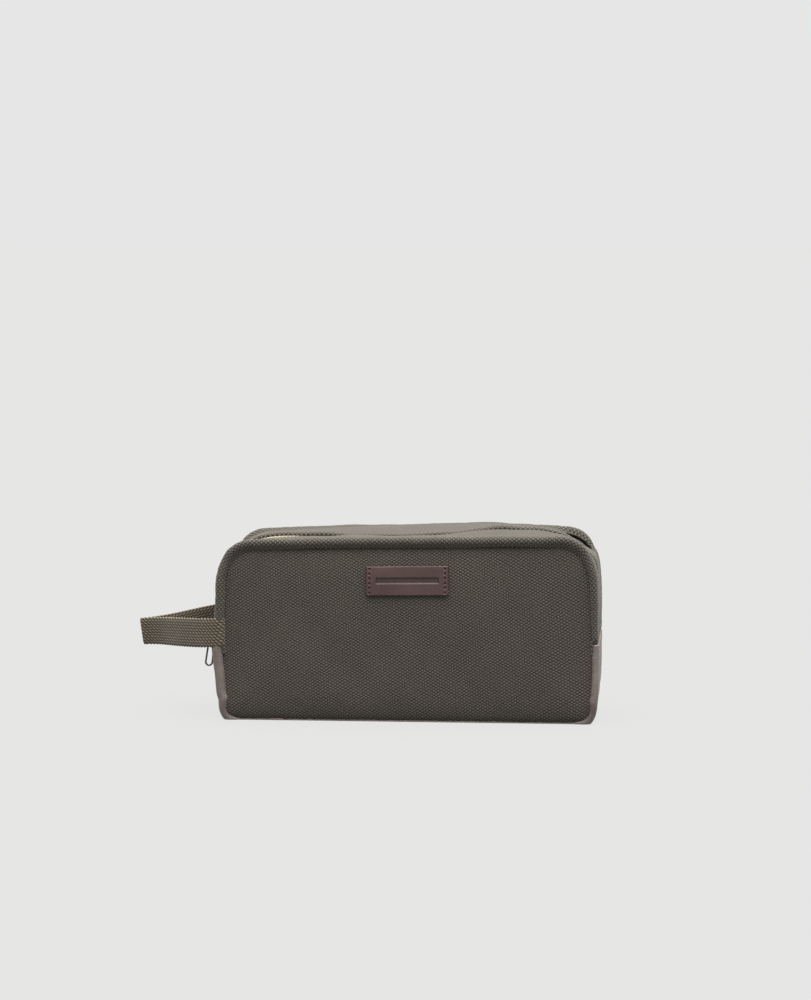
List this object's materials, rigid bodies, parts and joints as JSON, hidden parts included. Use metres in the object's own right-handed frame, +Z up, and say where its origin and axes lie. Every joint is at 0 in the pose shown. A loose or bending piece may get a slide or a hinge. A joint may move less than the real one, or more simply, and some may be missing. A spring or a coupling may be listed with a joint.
{
  "type": "cable organizer pouch",
  "caption": "Boxy zipped canvas pouch with a rounded outline, leather base, side webbing loop and a wire zip pull, for cables and small travel items.",
  "frame": {"origin": "centre of the flat underside of the leather base", "axes": "+X along the bag to the right, towards the end without the loop; +Y from the labelled front to the back; +Z up"},
  "size_m": [0.3258, 0.0876, 0.128],
  "materials": {
    "canvas": "coarse woven canvas, olive",
    "base_leather": "smooth brown leather, satin",
    "label_leather": "smooth maroon-brown leather, satin",
    "webbing": "khaki cotton webbing",
    "zip_tape": "khaki woven zip tape",
    "zip_metal": "antique brass",
    "slider_metal": "dark antique brass",
    "thread": "waxed thread",
    "lining": "plain woven lining",
    "binding": "ribbed binding tape",
    "foam": "thin foam interlining",
    "elastic": "knitted elastic"
  },
  "bodies": {
    "base": {"base_gusset": "base_leather", "base_lining": "lining", "zipper_top_stops": "zip_metal", "zipper_bottom_stop": "zip_metal"},
    "front_wall": {"front_panel": "canvas", "front_interlining": "foam", "front_lining": "lining", "front_zip_gusset": "canvas", "front_gusset_lining": "lining", "zipper_tape_front": "zip_tape", "zipper_teeth_front": "zip_metal", "front_seam_binding": "binding", "leather_label": "label_leather", "label_stitching": "thread", "slip_pocket": "lining"},
    "rear_wall": {"rear_panel": "canvas", "rear_interlining": "foam", "rear_lining": "lining", "rear_zip_gusset": "canvas", "rear_gusset_lining": "lining", "zipper_tape_rear": "zip_tape", "zipper_teeth_rear": "zip_metal", "rear_seam_binding": "binding", "cable_elastic": "elastic"},
    "handle": {"webbing_handle": "webbing"},
    "slider": {"slider_body": "slider_metal"},
    "pull_ring": {"pull_link": "slider_metal"},
    "pull": {"wire_pull": "slider_metal"}
  },
  "joints": [
    {"name": "front_wall_open", "type": "hinge", "parent": "base", "child": "front_wall", "pos_m": [0, -0.042, 0.0055], "axis": [1, 0, 0], "range_deg": [0, 15], "deforming": ["zipper_teeth_front", "webbing_handle"]},
    {"name": "rear_wall_open", "type": "hinge", "parent": "base", "child": "rear_wall", "pos_m": [0, 0.042, 0.0055], "axis": [-1, 0, 0], "range_deg": [0, 15], "deforming": ["zipper_teeth_rear", "webbing_handle"]},
    {"name": "handle_swing", "type": "hinge", "parent": "base", "child": "handle", "pos_m": [-0.128, 0, 0.062], "axis": [0, 1, 0], "range_deg": [-25, 35], "stiffness_Nm_per_rad": 0.02, "deforming": ["webbing_handle"]},
    {"name": "slider_travel", "type": "slide", "parent": "base", "child": "slider", "axis": [0, 0, 1], "range_m": [0, 0.026], "deforming": ["zipper_teeth_front", "zipper_teeth_rear"]},
    {"name": "pull_ring_swing", "type": "hinge", "parent": "slider", "child": "pull_ring", "pos_m": [-0.1367, 0, 0.06085], "axis": [0, 1, 0], "range_deg": [-6, 35]},
    {"name": "wire_pull_swing", "type": "hinge", "parent": "pull_ring", "child": "pull", "pos_m": [-0.14107, 0, 0.05658], "axis": [1, 0, 0], "range_deg": [-40, 40]}
  ]
}
